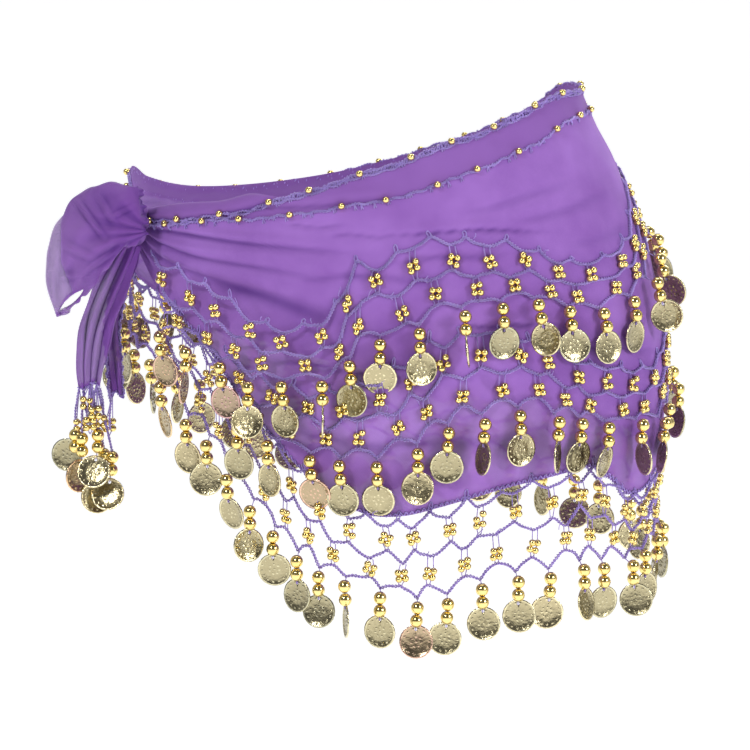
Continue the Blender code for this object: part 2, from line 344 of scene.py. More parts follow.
lineTable = {name: column(linesOnCloth, "stations", name) for name in linesOnCloth["columns"]}
stretchTable = {name: column(netStretch, "stations", name) for name in netStretch["columns"]}
hipTable = {name: column(hips, "sections", name) for name in hips["columns"]}


def lineHeight(name, azimuth):
    return smoothAt(azimuth, lineTable["azimuth"], lineTable[name])


def stretchAt(name, azimuth):
    return smoothAt(azimuth, stretchTable["azimuth"], stretchTable[name])


def hipPoint(azimuth, height, lift):
    # a point at a distance outside the hips, and the way out from them
    middle = smoothAt(-height, -hipTable["height"], hipTable["middle"])
    half = smoothAt(-height, -hipTable["height"], hipTable["halfWidth"])
    turn = np.radians(azimuth)
    depth = hips["depthShare"] * half
    out = np.stack([np.sin(turn) / half, -np.cos(turn) / depth, np.zeros(np.shape(height))], axis=-1)
    out /= np.linalg.norm(out, axis=-1, keepdims=True)
    skin = np.stack([middle + half * np.sin(turn), -depth * np.cos(turn), height], axis=-1)
    return skin + out * np.asarray(lift)[..., None], out


def ease(value, low, high):
    t = np.clip((value - low) / (high - low), 0, 1)
    return t * t * (3 - 2 * t)


def hill(distance, width):
    return np.exp(-((distance / width) ** 2))


def unit(vector):
    return vector / np.linalg.norm(vector)


# the chiffon

scarf = {
    "start": -75.0,
    "end": 284.0,
    "columns": 460,
    "rows": 96,
    "thickness": 0.45,
    "gather": 13.0,  # degrees over which each end draws in to the knot
    "knot": (-146.0, -46.0, -35.0),
    "rollHeight": 3.0,
    # creases: azimuth from and to, height from and to, bow, depth, width; a negative depth is a trough
    "folds": (
        (-76, 0, -39, -50, 3.5, -2.5, 1.5),
        (-76, -4, -36, -46, 4.0, 1.5, 2.2),
        (-74, -8, -42, -56, 2.0, 1.4, 2.4),
        (-74, -8, -41, -64, -1.0, -1.9, 1.3),
        (-74, -14, -43, -71, -1.5, 1.3, 2.6),
        (-72, -22, -46, -73, -3.0, -1.2, 1.6),
        (-46, -6, -64, -90, 1.0, -2.2, 4.0),
        (-72, -34, -35.5, -37.5, 1.0, -1.0, 1.4),
        (-38, 14, -26, -13, 0.5, -1.3, 1.1),
        (-36, 8, -23, -9, 0.5, 0.9, 1.8),
        (-25, -5, -32, -31.5, 0.5, -1.0, 0.9),
        (-14, 4, -37.5, -36.5, 0, -1.2, 1.0),
        (-22, -2, -62, -58, -1.0, -0.9, 1.6),
        (-3, 44, -36.5, -36, 1.5, -2.4, 1.0),
        (2, 40, -33, -32, 1.5, 1.1, 1.8),
        (-2, 30, -52, -47, 0, -1.5, 1.7),
        (-14, 16, -59, -65, 0, -1.1, 2.4),
        (16, 60, -25, -6, 0, -0.9, 2.4),
        (26, 74, -34, -15, 2.0, -0.9, 2.6),
        (22, 70, -29, -9, 2.0, 0.9, 3.2),
        (40, 84, -46, -36, 1.0, -0.8, 3.0),
        (8, 44, -89, -92, 1.0, -2.2, 1.2),
        (12, 40, -85, -88, 1.0, 1.0, 2.0),
        (36, 78, -104, -112, 1.0, -1.3, 1.6),
        (-34, 10, -104, -120, -4, -1.3, 2.6),
        (-20, 26, -136, -146, -3, 1.1, 4.0),
        (-14, 40, -158, -150, -3, -1.2, 3.2),
        (24, 66, -134, -150, 2, 1.0, 4.4),
        (38, 78, -146, -168, 1, -1.2, 3.4),
        (-28, 6, -146, -166, -2, -1.1, 3.0),
        (286, 200, -34, -52, -4, -2.4, 1.7),
        (286, 216, -38, -60, -3, 1.6, 2.4),
        (286, 190, -31, -44, -5, 1.4, 2.4),
        (284, 228, -42, -72, -1, -1.8, 1.8),
        (284, 240, -46, -84, 2, 1.3, 2.6),
        (284, 236, -30, -30, 2, -1.2, 1.4),
        (222, 160, -60, -66, -2, -1.3, 2.2),
        (206, 132, -44, -28, -2, 1.0, 3.0),
        (192, 140, -33, -22, -1, -1.4, 1.4),
        (176, 112, -102, -96, 2, -1.3, 2.6),
        (160, 96, -18, 6, 1, -1.0, 3.0),
        (130, 84, 8, 22, 1, -0.8, 2.2),
        (204, 150, -112, -124, -2, 1.0, 3.6),
        (150, 96, -134, -142, -2, -1.2, 3.8),
    ),
}


def foldLift(azimuth, height):
    lift = np.zeros(np.broadcast(azimuth, height).shape)
    for start, end, fromHeight, toHeight, bow, depth, width in scarf["folds"]:
        along = (azimuth - start) / (end - start)
        inside = np.clip(along, 0, 1)
        middle = fromHeight + (toHeight - fromHeight) * inside + bow * 4 * inside * (1 - inside)
        middle = middle + 0.8 * np.sin(inside * 9 + start)
        fromKnot = start < -70 or start > 280
        lead = 1.0 if fromKnot else ease(along, 0.0, 0.28)
        fade = lead * (1 - ease(along, 0.55, 1.0)) * (along > -0.05)
        wide = width * (0.7 + 0.7 * inside)
        lift += depth * fade * hill(height - middle, wide)
    return lift


def clothLift(azimuth, height):
    # how far the cloth stands off the hips
    top, hem = lineHeight("top", azimuth), lineHeight("hem", azimuth)
    edge = lineHeight("edge", azimuth)
    height = np.maximum(height, hem)
    lift = 1.3 + foldLift(azimuth, height)
    turn = np.radians(azimuth)
    lift += 0.35 * np.sin(5 * turn + 0.03 * height) + 0.3 * np.sin(9 * turn - 0.05 * height + 1.3)
    lift += 0.22 * np.sin(21 * turn + 0.11 * height + 2 * np.sin(0.06 * height))
    down = np.clip((top - height) / np.maximum(top - edge, 2.0), 0, 1)
    roll = ease(top - edge, 1.5, 8.0)
    lift += scarf["rollHeight"] * roll * np.sin(np.pi * down) ** 0.8
    lift += 0.5 * hill(height - hem, 2.0)
    for name in ("upper", "middle"):
        line = lineHeight(name, azimuth)
        lift += 0.45 * hill(height - line - 1.5, 2.4) * np.sin(azimuth * 0.83 + 0.4)
    return np.maximum(lift, 0.2)


def newPiece(name, points, faces, materials):
    mesh = bpy.data.meshes.new(name)
    mesh.from_pydata((np.asarray(points) * mm).tolist(), [], faces)
    mesh.shade_smooth()
    for each in materials:
        mesh.materials.append(each)
    made = bpy.data.objects.new(name, mesh)
    bpy.context.scene.collection.objects.link(made)
    return made


def gridFaces(rows, columns, closedRound=False):
    faces = []
    for i in range(rows - 1):
        for j in range(columns if closedRound else columns - 1):
            a, b = i * columns + j, i * columns + (j + 1) % columns
            faces.append((a, a + columns, b + columns, b))
    return faces


def addClothMap(piece, across, down, layers, crease):
    # a map in metres along the cloth, how many layers lie there, and how deep in a crease it is, which
    # darkens it with painted shade
    mesh = piece.data
    corners = np.empty(len(mesh.loops), np.int32)
    mesh.loops.foreach_get("vertex_index", corners)
    flat = np.stack([across.reshape(-1), down.reshape(-1)], axis=-1) * mm
    mesh.uv_layers.new(name="cloth")
    mesh.uv_layers["cloth"].data.foreach_set("uv", flat[corners].astype(np.float32).reshape(-1))
    for name, values in (("layers", layers), ("crease", crease)):
        mesh.attributes.new(name, "FLOAT", "POINT")
        values = np.broadcast_to(values, across.shape).reshape(-1)
        mesh.attributes[name].data.foreach_set("value", values.astype(np.float32))


def clearSelection():
    for other in list(bpy.context.selected_objects):
        other.select_set(False)


def activate(piece):
    clearSelection()
    piece.select_set(True)
    bpy.context.view_layer.objects.active = piece


def thicken(piece, thickness):
    activate(piece)
    solid = piece.modifiers.new("thickness", "SOLIDIFY")
    solid.thickness = thickness * mm
    solid.offset = 0.0
    bpy.ops.object.modifier_apply(modifier=solid.name)


def bind(piece, slot, *nodes):
    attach(piece, "root")
    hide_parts(*nodes)


def buildScarf():
    azimuth = np.linspace(scarf["start"], scarf["end"], scarf["columns"])[None, :]
    share = np.linspace(0, 1, scarf["rows"])[:, None]
    top, hem = lineHeight("top", azimuth), lineHeight("hem", azimuth)
    height = top * (1 - share) + hem * share
    azimuth = np.broadcast_to(azimuth, height.shape)
    lift = clothLift(azimuth, height)
    drawn = ease(scarf["start"] + scarf["gather"] - azimuth, 0, scarf["gather"])
    drawn = drawn + ease(azimuth - scarf["end"] + scarf["gather"], 0, scarf["gather"])
    pleats = np.sin(share * 36 + 0.8 * np.sin(azimuth * 0.09))
    lift = lift + 1.6 * drawn * pleats
    points, _ = hipPoint(azimuth, height, lift)
    target = np.empty_like(points)
    target[..., 0] = scarf["knot"][0] + 2.5 * np.sin(share * 23)
    target[..., 1] = scarf["knot"][1] + 2.5 * np.cos(share * 29)
    target[..., 2] = scarf["knot"][2] + (0.5 - share) * 17
    points += (target - points) * (0.92 * drawn)[..., None]
    made = newPiece("scarfCloth", points.reshape(-1, 3), gridFaces(*height.shape), [chiffon])
    edge, strip = lineHeight("edge", azimuth), lineHeight("strip", azimuth)
    layers = ease(height, strip - 0.4, strip + 0.4) * 0.75
    layers = np.maximum(layers, ease(height, edge - 0.5, edge + 0.5) * ease(top - edge, 2, 8) * 0.9)
    layers = np.maximum(layers, (1 - ease(height, hem + 2.2, hem + 3.0)) * 0.85)
    layers = np.maximum(layers, drawn * 0.8)
    # painted shade in the troughs of the folds and between the gathered pleats
    crease = np.clip(-foldLift(azimuth, height) / 2.6, 0, 1) * 0.75
    crease = np.maximum(crease, drawn * np.clip(0.35 - 0.5 * pleats, 0, 1))
    # the roll of cloth at the front casts itself in shade along its lower side
    rolled = ease(top - edge, 3, 8)
    crease = np.maximum(crease, rolled * 0.7 * hill(height - edge, 1.6))
    addClothMap(made, azimuth * 2.4, -height, layers, crease)
    thicken(made, scarf["thickness"])
    return made


scarfCloth = buildScarf()
bind(scarfCloth, "chiffon", "scarf_front", "scarf_back")
print("chiffon laid round the hips")


# thread, beads and coins that the nets are made of

threadSides = 3


def sweepThread(points, radius, twist=None, outward=None, step=0.95):
    # tubes along a line; with a twist, two strands wind round each other in loops
    points = np.asarray(points, float)
    lengths = np.concatenate([[0], np.cumsum(np.linalg.norm(np.diff(points, axis=0), axis=1))])
    count = max(3, int(math.ceil(lengths[-1] / step)) + 1)
    at = np.linspace(0, lengths[-1], count)
    line = np.stack([np.interp(at, lengths, points[:, k]) for k in range(3)], axis=-1)
    along = np.gradient(line, axis=0)
    along /= np.linalg.norm(along, axis=1, keepdims=True) + 1e-9
    if outward is None:
        outward = np.stack([line[:, 0] * 0.52, line[:, 1], np.zeros(count)], axis=-1)
    else:
        outward = np.broadcast_to(np.asarray(outward, float), line.shape)
    side = np.cross(along, outward)
    side /= np.linalg.norm(side, axis=1, keepdims=True) + 1e-9
    up = np.cross(side, along)
    parts = []
    sides = threadSides
    strands = 2 if twist else 1
    for strand in range(strands):
        centre = line
        if twist:
            phase = 2 * math.pi * at / twist + math.pi * strand
            loose = radius * (1.45 + 0.3 * np.sin(at * 0.9 + len(at)))[:, None]
            centre = line + loose * (np.cos(phase)[:, None] * side * 0.75 + np.sin(phase)[:, None] * up)
        angle = np.linspace(0, 2 * math.pi, sides, endpoint=False)
        ring = np.cos(angle)[None, :, None] * up[:, None] + np.sin(angle)[None, :, None] * side[:, None]
        verts = (centre[:, None] + ring * radius).reshape(-1, 3)
        faces = []
        for i in range(0, (count - 1) * sides, sides):
            for j in range(sides):
                k = (j + 1) % sides
                faces.append((i + j, i + k, i + sides + k, i + sides + j))
        faces.append(tuple(range(sides - 1, -1, -1)))
        last = (count - 1) * sides
        faces.append(tuple(last + j for j in range(sides)))
        parts.append((verts, faces))
    return parts


def joinParts(name, parts, materials):
    points, faces, slots, tones, worn, start = [], [], [], [], [], 0
    for part in parts:
        verts, polygons = part[0], part[1]
        points.append(verts)
        faces += [tuple(v + start for v in polygon) for polygon in polygons]
        slots += [part[2] if len(part) > 2 else 0] * len(polygons)
        tones.append(np.full(len(verts), part[3] if len(part) > 3 else 0.6))
        worn.append(part[4] if len(part) > 4 else np.ones(len(verts)))
        start += len(verts)
    made = newPiece(name, np.concatenate(points), faces, materials)
    if any(slots):
        made.data.polygons.foreach_set("material_index", slots)
    for key, values in (("tone", tones), ("worn", worn)):
        made.data.attributes.new(key, "FLOAT", "POINT")
        made.data.attributes[key].data.foreach_set("value", np.concatenate(values).astype(np.float32))
    return made


def takeShape(pattern):
    # the points, in mm, and faces of a modelled pattern, which is then cleared away
    mesh = pattern.data
    points = np.empty(len(mesh.vertices) * 3)
    mesh.vertices.foreach_get("co", points)
    # sorted, because the order of a sphere's faces differs from run to run
    faces = sorted(tuple(polygon.vertices) for polygon in mesh.polygons)
    bpy.data.objects.remove(pattern)
    return points.reshape(-1, 3) / mm, faces


beads = {"big": 3.95, "small": 2.2}


def modelBead(radius, segments, rings, dimple):
    clearSelection()
    bpy.ops.mesh.primitive_uv_sphere_add(segments=segments, ring_count=rings, radius=radius * mm)
    bead = bpy.context.object
    bpy.ops.object.mode_set(mode="EDIT")
    bpy.ops.mesh.select_mode(type="VERT")
    bpy.ops.mesh.select_all(action="DESELECT")
    shell = bmesh.from_edit_mesh(bead.data)
    for vertex in shell.verts:
        vertex.select_set(abs(vertex.co.z) > radius * mm * 0.995)
    shell.select_flush_mode()
    bmesh.update_edit_mesh(bead.data)
    bpy.ops.transform.resize(value=(1, 1, dimple))  # the thread hole's two mouths
    bpy.ops.object.mode_set(mode="OBJECT")
    return takeShape(bead)


coin = {
    "radius": 9.9,
    "thickness": 0.9,
    "sides": 24,
    "rim": 0.9,
    "recess": 0.26,
    "holeRadius": 0.95,
    "holeHeight": 7.3,
    "wall": 0.4,
    "medallion": 4.6,
    "dome": 0.7,
    # rings of studs: how many, distance out, radius, height, turn on in steps, lengths
    "studs": (
        (14, 7.4, 0.9, 0.55, 0.5, (1.0, 1.5)),
        (7, 2.9, 1.05, 0.6, 0.0, (1.1, 1.5, 1.5)),
    ),
    "hub": (1.3, 0.65, 0.4),
}


def addStud(x, y, side, radius, height, turn, length=1.0):
    # a low pyramid standing on one side of the coin
    middle = coin["thickness"] / 2 - coin["recess"] + height / 2 - 0.04
    clearSelection()
    bpy.ops.mesh.primitive_cone_add(
        vertices=4,
        radius1=radius * mm,
        radius2=0,
        depth=height * mm,
        end_fill_type="NOTHING",
        rotation=(0 if side > 0 else math.pi, 0, turn if side > 0 else -turn),
        scale=(length, 1, 1),
        location=(x * mm, y * mm, side * middle * mm),
    )
    return bpy.context.object


def modelCoin():
    clearSelection()
    bpy.ops.mesh.primitive_cylinder_add(
        vertices=coin["sides"], radius=coin["radius"] * mm, depth=coin["thickness"] * mm
    )
    disc = bpy.context.object
    bpy.ops.object.mode_set(mode="EDIT")
    bpy.ops.mesh.select_mode(type="FACE")
    bpy.ops.mesh.select_all(action="DESELECT")
    shell = bmesh.from_edit_mesh(disc.data)
    for face in shell.faces:
        face.select_set(abs(face.normal.z) > 0.9)
    bmesh.update_edit_mesh(disc.data)
    field = coin["radius"] - coin["rim"]
    bpy.ops.mesh.inset(thickness=coin["rim"] * mm, depth=0)
    bpy.ops.mesh.inset(thickness=coin["wall"] * mm, depth=-coin["recess"] * mm)
    bpy.ops.mesh.inset(thickness=(field - coin["wall"] - coin["medallion"]) * mm, depth=0)
    bpy.ops.object.mode_set(mode="OBJECT")
    # the hole
    clearSelection()
    bpy.ops.mesh.primitive_cylinder_add(
        vertices=8, radius=coin["holeRadius"] * mm, depth=3 * mm, location=(0, coin["holeHeight"] * mm, 0)
    )
    punch = bpy.context.object
    activate(disc)
    cut = disc.modifiers.new("hole", "BOOLEAN")
    cut.object = punch
    cut.solver = "EXACT"
    bpy.ops.object.modifier_apply(modifier=cut.name)
    bpy.data.objects.remove(punch)
    # a ring of studs and a rosette, stamped on both sides
    studs = []
    for side in (1, -1):
        for count, ring, radius, height, shift, lengths in coin["studs"]:
            for i in range(count):
                turn = math.pi / 2 + (i + shift) * 2 * math.pi / count
                x, y = ring * math.cos(turn), ring * math.sin(turn)
                studs.append(addStud(x, y, side, radius, height, turn, lengths[i % len(lengths)]))
        studs.append(addStud(0, 0, side, *coin["hub"]))
    clearSelection()
    for each in studs + [disc]:
        each.select_set(True)
    bpy.context.view_layer.objects.active = disc
    bpy.ops.object.join()
    points, faces = takeShape(disc)
    low = coin["thickness"] / 2 - coin["recess"] - 0.02
    worn = np.clip((np.abs(points[:, 2]) - low) / 0.3, 0, 1)
    reach = np.hypot(points[:, 0], points[:, 1])
    worn[reach > coin["radius"] - 0.1] = 0.85
    points[:, 2] += coin["dome"] * (1 - (reach / coin["radius"]) ** 2)
    return points, faces, worn


bigBead = modelBead(beads["big"], 10, 8, 0.8)
smallBead = modelBead(beads["small"], 8, 5, 0.8)
coinShape = modelCoin()
print("bead and coin patterns modelled:", len(bigBead[1]), len(smallBead[1]), len(coinShape[1]), "faces")


def rotation(axis, angle):
    x, y, z = unit(np.asarray(axis, float))
    c, s = math.cos(angle), math.sin(angle)
    return np.array(
        [
            [c + x * x * (1 - c), x * y * (1 - c) - z * s, x * z * (1 - c) + y * s],
            [y * x * (1 - c) + z * s, c + y * y * (1 - c), y * z * (1 - c) - x * s],
            [z * x * (1 - c) - y * s, z * y * (1 - c) + x * s, c + z * z * (1 - c)],
        ]
    )


def placed(shape, centre, slot=0, tone=0.6, turned=None):
    points = shape[0] if turned is None else shape[0] @ turned.T
    worn = shape[2] if len(shape) > 2 else np.ones(len(points))
    return (points + np.asarray(centre), shape[1], slot, tone, worn)


# the nets

net = {
    "pitch": {"upper": 23.0, "middle": 21.5, "hem": 21.0},
    "threadRadius": 0.6,
    "threadTwist": 3.9,
    "fineRadius": 0.36,
    "stitchRadius": 0.46,
    "endRadius": 0.3,
    "hemRadius": 0.5,
    "fineStep": 3.0,
    "archDrop": 5.0,
    "firstBeads": 12.5,
    "secondHigh": 18.0,
    "secondLow": 23.0,
    "secondBeads": 30.5,
    "thirdHigh": 35.6,
    "thirdLow": 40.5,
    "pendantBead": 45.0,
    "scaledDrop": 45.0,
    "beadSpacing": 1.88,
    "clear": 1.3,
    "layerStep": 5.8,
    "overCoins": 50.0,
    "pendantDrop": 38.0,
    "spans": {"upper": (-63, 279), "middle": (-39, 215), "hem": (-63, 279)},
}
toneChoices = (0.02, 0.1, 0.2, 0.28, 0.35, 0.45, 0.5, 0.55, 0.6, 0.68, 0.75, 0.82)
copperTones = (0.9, 0.96, 1.0)


def rowLayer(azimuth, name):
    # rows that run close together lie over each other
    below = {"upper": ("middle", "hem"), "middle": ("hem",), "hem": ()}[name]
    out = np.zeros(np.shape(azimuth))
    for other in below:
        start, end = net["spans"][other]
        present = np.clip((azimuth - start) / 12 + 1, 0, 1) * np.clip((end - azimuth) / 12 + 1, 0, 1)
        apart = lineHeight(name, azimuth) - lineHeight(other, azimuth)
        overCoins = np.clip((net["overCoins"] - apart) / 10, 0, 1) * present
        reach = 42 * stretchAt(name, azimuth) + net["pendantDrop"]
        overNet = np.clip((reach + 12 - apart) / 10, 0, 1) * present
        out = np.maximum(out, overCoins * net["layerStep"] * 0.7 + overNet * rowLayer(azimuth, other))
    return out


class NetRow:
    # places on one row, by distance along its line and drop below it
    def __init__(self, line):
        self.line = line
        start, end = net["spans"][line]
        self.azimuth = np.linspace(start, end, 1400)
        points, _ = hipPoint(self.azimuth, lineHeight(line, self.azimuth), np.full(1400, 1.0))
        steps = np.linalg.norm(np.diff(points, axis=0), axis=1)
        self.along = np.concatenate([[0], np.cumsum(steps)])
        self.units = int(round(self.along[-1] / net["pitch"][line]))
        self.pitch = self.along[-1] / self.units

    def place(self, distance, drop, out, extra=0.0):
        # the net's own drop is drawn out or in; what hangs from it isn't
        distance = np.atleast_1d(np.asarray(distance, float))
        azimuth = np.interp(distance, self.along, self.azimuth)
        drop = np.broadcast_to(np.asarray(drop, float), azimuth.shape)
        own = np.minimum(drop, net["scaledDrop"])
        real = own * stretchAt(self.line, azimuth) + (drop - own) + extra
        height = lineHeight(self.line, azimuth) - real
        lift = clothLift(azimuth, height) + rowLayer(azimuth, self.line) + out
        return hipPoint(azimuth, height, lift)

    def thread(self, path, radius, twist=None, step=0.95):
        # a thread through places on the row: distance, drop, out and maybe an extra drop
        points, _ = self.place(*np.asarray(path, float).T)
        return sweepThread(points, radius, twist, step=step)


def chainBetween(nodes, sag, steps=11):
    # a chain through its nodes (distance, drop, out), each span sagging a little
    path = []
    for (s0, d0, o0), (s1, d1, o1) in zip(nodes, nodes[1:]):
        t = np.linspace(0, 1, steps)[:-1]
        bend = (sag + jittered(0.7)) * np.sin(math.pi * t) + jittered(0.5) * np.sin(2 * math.pi * t)
        path += list(zip(s0 + (s1 - s0) * t, d0 + (d1 - d0) * t + bend, o0 + (o1 - o0) * t))
    path.append(nodes[-1])
    return np.array(path)


def jittered(amount):
    return random.uniform(-amount, amount)


def buildRow(name, line):
    row = NetRow(line)
    clear = net["clear"]
    picots = [(i * row.pitch + jittered(2.4), jittered(1.6), clear) for i in range(row.units + 1)]
    low1 = [
        ((picots[i][0] + picots[i + 1][0]) / 2 + jittered(2.2), net["archDrop"] + jittered(2.2), clear)
        for i in range(row.units)
    ]
    high2 = [(s + jittered(2.0), net["secondHigh"] + jittered(1.5), clear) for s, _, _ in low1]
    low2 = [
        ((high2[i][0] + high2[i + 1][0]) / 2 + jittered(2.2), net["secondLow"] + jittered(2.2), clear)
        for i in range(row.units - 1)
    ]
    high3 = [(s + jittered(2.0), net["thirdHigh"] + jittered(1.3), clear) for s, _, _ in low2]
    between = [(a[0] + b[0]) / 2 for a, b in zip(high3, high3[1:])]
    ends = [high3[0][0] - row.pitch / 2, *between, high3[-1][0] + row.pitch / 2]
    low3 = [(s + jittered(2.2), net["thirdLow"] + jittered(2.2), clear + 1.6) for s in ends]

    threads, beadParts, pendants = [], [], []

    def chain(first, second, sag):
        path = chainBetween(sorted(first + second), sag)
        threads.extend(row.thread(path, net["threadRadius"], net["threadTwist"]))

    chain(picots, low1, 0.8)
    chain(high2, low2, 0.3)
    chain(high3, low3, -0.9)

    # stitches that hold the first chain to the cloth, and short ends that stand out of it
    for s, drop, _ in picots:
        lean = jittered(1.6)
        tall = random.uniform(2.6, 4.6)
        loop = [
            (s - 0.9, drop + 0.6, clear),
            (s - 1.0 + lean, drop - tall * 0.7, 0.6),
            (s + lean, drop - tall, 0.5),
            (s + 1.0 + lean, drop - tall * 0.7, 0.6),
            (s + 0.9, drop + 0.6, clear),
        ]
        threads.extend(row.thread(loop, net["stitchRadius"]))
    for s, drop, _ in picots + high2 + low2:
        if random.random() < 0.35:
            spot = s + jittered(6)
            loose = [
                (spot, drop + 1, clear),
                (spot + jittered(1.5), drop - 1.2, clear + 1.4),
                (spot + jittered(3), drop - 2.6, clear + 1.0),
            ]
            threads.extend(row.thread(loose, net["endRadius"]))

    # a whipped hem, where the row hangs from the cloth's own edge
    if line == "hem":
        along = np.arange(8.0, row.along[-1] - 8, 0.8)
        wave = np.sin(along * 2 * math.pi / 3.4 + 0.6 * np.sin(along * 0.21))
        points, _ = row.place(along, -1.0 + 1.0 * wave, 0.9 + 0.25 * np.cos(along * 3.7))
        threads.extend(sweepThread(points, net["hemRadius"], step=0.8))

    # pairs of fine threads, each with two beads, between the chains
    half = beads["small"] * 0.86
    for upperNodes, lowerNodes, beadDrop in (
        (low1, high2, net["firstBeads"]),
        (low2, high3, net["secondBeads"]),
    ):
        for (s0, d0, o0), (s1, d1, o1) in zip(upperNodes, lowerNodes):
            middle = (s0 + s1) / 2 + jittered(0.7)
            drop = min(max(beadDrop + jittered(1.0), d0 + 5.0), d1 - 4.6)
            lean = math.radians(jittered(24))
            slipped = random.random() < 0.2
            for hand in (-1, 1):
                aside = hand * net["beadSpacing"] * random.uniform(0.97, 1.06)
                centre = middle + aside * math.cos(lean)
                off = half * math.sin(lean)
                high = -half * math.cos(lean) + aside * math.sin(lean)
                deep = half * math.cos(lean) + aside * math.sin(lean)
                if slipped and hand > 0:
                    high -= random.uniform(0.6, 2.6)
                path = [
                    (s0 + hand * 1.7, d0, o0, 0),
                    (centre + off, drop, clear + 1.0, high),
                    (centre - off, drop, clear + 1.0, deep),
                    (s1 + hand * 0.8, d1, o1, 0),
                ]
                threads.extend(row.thread(path, net["fineRadius"], step=net["fineStep"]))
                for shift, extra in ((off, high), (-off, deep)):
                    at, _ = row.place(centre + shift, drop, clear + 1.0, extra)
                    beadParts.append(placed(smallBead, at[0]))

    # two big beads and a coin under each low of the last chain
    bigStep = beads["big"] * 1.94
    for i, (s, d, o) in enumerate(low3):
        swing = math.radians(jittered(5.0))
        edgeOn = random.random() < 0.13
        if edgeOn:
            yaw = random.choice((-1, 1)) * random.uniform(50, 80)
        else:
            yaw = max(-44, min(44, random.gauss(0, 21)))
        sideways = abs(math.sin(math.radians(yaw)))
        lift = 3.4 + coin["radius"] * sideways * 0.5 + (i % 2) * 0.9
        head = d + net["pendantBead"] - net["thirdLow"]
        spots = []
        for drop in (0.0, bigStep):
            at, outward = row.place(s + math.sin(swing) * drop, head, lift + clear, drop)
            spots.append(at[0])
            beadParts.append(placed(bigBead, at[0]))
        away = bigStep + beads["big"] + 1.1 + coin["holeHeight"]
        flat = clear + 1.7 + coin["radius"] * sideways * 0.92 + (i % 2) * 0.9
        spot, _ = row.place(s + math.sin(swing) * away, head, flat, away)
        out = outward[0]
        hang = unit(spot[0] - spots[1])
        hole = spots[1] + hang * (beads["big"] + 1.1)
        across = unit(np.cross(out, -hang))
        face = np.cross(across, -hang)
        turned = rotation(hang, math.radians(yaw)) @ np.stack([across, -hang, face], axis=1)
        if not edgeOn:
            tipped = rotation(across, math.radians(random.gauss(0, 6)))
            turned = tipped @ turned @ rotation((0, 0, 1), math.radians(jittered(7)))
        centre = hole - turned[:, 1] * coin["holeHeight"]
        nearKnot = s < 60 and random.random() < 0.5
        tone = random.choice(copperTones if nearKnot or random.random() < 0.05 else toneChoices)
        pendants.append(placed(coinShape, centre, 1, tone, turned))
        start, _ = row.place(s, d, o)
        through = centre + turned @ np.array([0, coin["holeHeight"], 0])
        path = [start[0], spots[0], spots[1], through, through + hang * 0.6]
        threads.extend(sweepThread(path, net["fineRadius"], step=net["fineStep"]))
        side = turned[:, 2]
        knotted = spots[1] + hang * 3.0
        loop = [knotted, through + side * 0.9, through + hang * 0.9, through - side * 0.9, knotted]
        threads.extend(sweepThread(loop, net["endRadius"], step=1.6))
    return threads, beadParts, pendants


rows = (("upper", "upper"), ("middle", "middle"), ("lower", "hem"))
netPieces = []
for name, line in rows:
    threads, beadParts, pendants = buildRow(name, line)
    chains = joinParts(f"net{name.capitalize()}", threads, [crochetThread])
    bind(chains, "crochet_thread", f"net_{name}")
    hung = joinParts(f"coins{name.capitalize()}", beadParts + pendants, [goldBead, goldCoin])
    bind(hung, "gold", f"coins_{name}")
    netPieces += [chains, hung]
    faceCounts = [len(piece.data.polygons) for piece in (chains, hung)]
    print(name, "row:", len(pendants), "coins,", *faceCounts, "faces of thread and of gold")


# crocheted edgings

edgings = {
    "beadEvery": 29.0,
    "twist": 3.6,
    "stitchRadius": 0.34,
    "lines": (("edge", "edgingWaist", "edging_waist"), ("strip", "edgingStrip", "edging_strip")),
}


def buildEdging(line, name, node, first):
    azimuth = np.linspace(-71, 281, 2400)
    points, _ = hipPoint(azimuth, lineHeight(line, azimuth), np.full(2400, 1.0))
    along = np.concatenate([[0], np.cumsum(np.linalg.norm(np.diff(points, axis=0), axis=1))])
    thick = line == "edge"
    parts = []
    for strand, (shift, radius) in enumerate(((0.0, 0.6), (-1.6, 0.5)) if thick else ((0.0, 0.55),)):
        height = lineHeight(line, azimuth) + shift + 0.45 * np.sin(along * 0.55 + strand * 2)
        height += 0.5 * np.sin(along * 0.13 + strand)
        lift = clothLift(azimuth, height) + 0.9 + 0.3 * np.sin(along * 0.9 + strand)
        path, _ = hipPoint(azimuth, height, lift)
        parts.extend(sweepThread(path, radius, edgings["twist"]))
    # small stitches over the edge
    for at in np.arange(6.0, along[-1] - 4, 2.2 if thick else 7.5):
        at += jittered(0.6 if thick else 3)
        here = np.interp([at, at + 0.3, at + 0.7 + jittered(0.4), at + 1.1, at + 1.5], along, azimuth)
        rolled = lineHeight("top", here[0]) - lineHeight("edge", here[0]) > 4
        if thick and rolled and random.random() < 0.75:
            continue
        tall = random.uniform(1.6, 3.6)
        rise = np.array([-tall, -tall * 0.4, 1.1, -tall * 0.4, -tall * 0.9])
        height = lineHeight(line, here) + rise + jittered(0.5)
        path, _ = hipPoint(here, height, clothLift(here, height) + np.array([0.8, 1.4, 1.8, 1.4, 0.8]))
        parts.extend(sweepThread(path, edgings["stitchRadius"], step=1.3))
    gold = []
    for at in np.arange(first, along[-1] - 10, edgings["beadEvery"]):
        here = np.interp([at + jittered(3)], along, azimuth)
        height = lineHeight(line, here) + 0.6
        path, _ = hipPoint(here, height, clothLift(here, height) + 2.4)
        gold.append(placed(smallBead, path[0], 1))
    made = joinParts(name, parts + gold, [crochetThread, goldBead])
    bind(made, "crochet_thread", node)
    return made


edgingPieces = [buildEdging(*each, 12.0 + 14.0 * i) for i, each in enumerate(edgings["lines"])]
print("edgings crocheted")


# the knot and its puffed end

